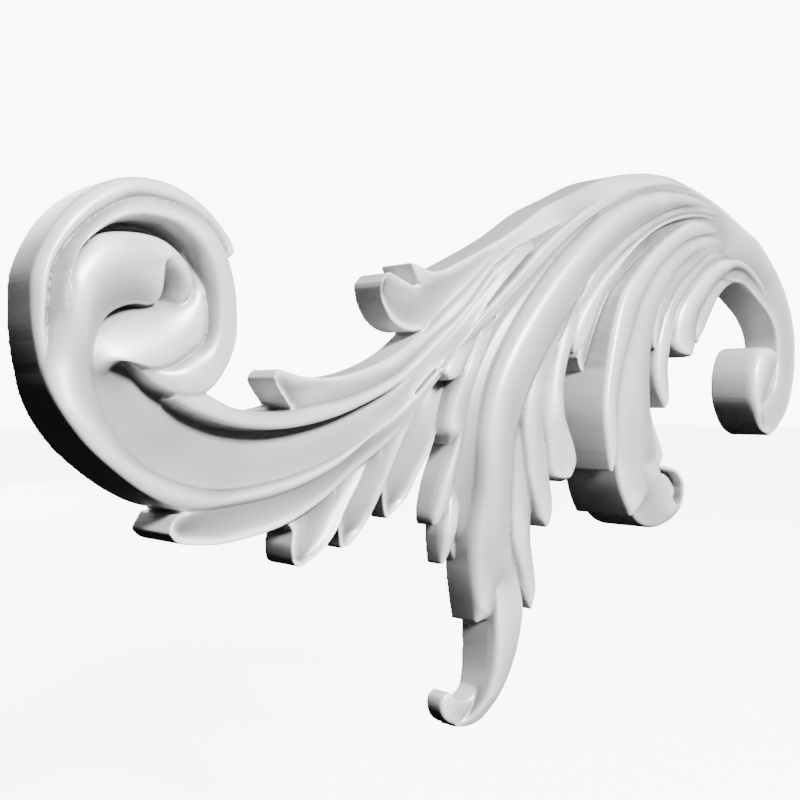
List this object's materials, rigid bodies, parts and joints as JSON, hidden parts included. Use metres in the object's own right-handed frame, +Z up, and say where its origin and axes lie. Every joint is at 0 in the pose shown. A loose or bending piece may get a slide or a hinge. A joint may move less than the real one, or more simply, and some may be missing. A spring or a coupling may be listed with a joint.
{
  "type": "carved scroll onlay",
  "caption": "Flat-backed acanthus scroll carving with a coiled stem at one end, fanned leaves and a curled arm, for fixing to a flat face.",
  "frame": {"origin": "on the flat back, at the throat where the leaves part from the stem", "axes": "+X along the carving from the coiled stem to the curled arm, +Z up as it hangs, +Y out of the flat back; the carving faces -Y"},
  "size_m": [0.3009, 0.0219, 0.1644],
  "materials": {
    "carving": "smooth sanded carving with a pale grey-white satin primer, nothing else on it"
  },
  "bodies": {
    "root": {"carved_onlay": "carving"}
  },
  "joints": []
}
